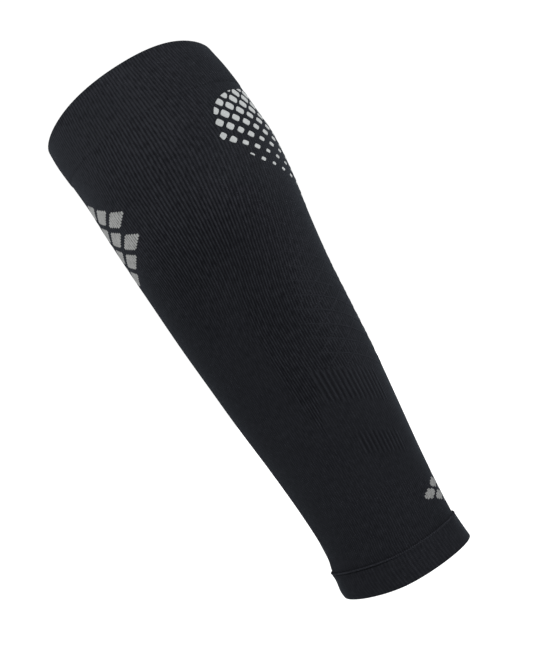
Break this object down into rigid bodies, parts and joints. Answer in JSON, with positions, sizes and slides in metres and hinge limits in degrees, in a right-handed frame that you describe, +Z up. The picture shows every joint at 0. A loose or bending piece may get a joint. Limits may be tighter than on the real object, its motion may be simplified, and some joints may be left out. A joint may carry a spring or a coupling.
{
  "type": "calf compression sleeve",
  "caption": "Knitted calf compression sleeve in its worn form: a hollow tube from calf to ankle with a turned welt, an ankle hem, knitted ribs and a dotted patch behind.",
  "frame": {"origin": "on the leg's axis at the level where the calf is fullest, where the leg that is left out holds the sleeve", "axes": "+Z up to the knee, -Y to the shin, +Y to the calf, +X to the outer side of the leg"},
  "size_m": [0.114, 0.1241, 0.3329],
  "materials": {
    "body_knit": "matte ribbed knit, nearly black with a cool cast",
    "welt_knit": "matte double-layer knit",
    "hem_knit": "matte double-layer knit",
    "dot_print": "satin pale grey print film"
  },
  "bodies": {
    "root": {"sleeve_body": "body_knit", "top_cuff": "welt_knit", "ankle_cuff": "hem_knit"}
  },
  "joints": []
}
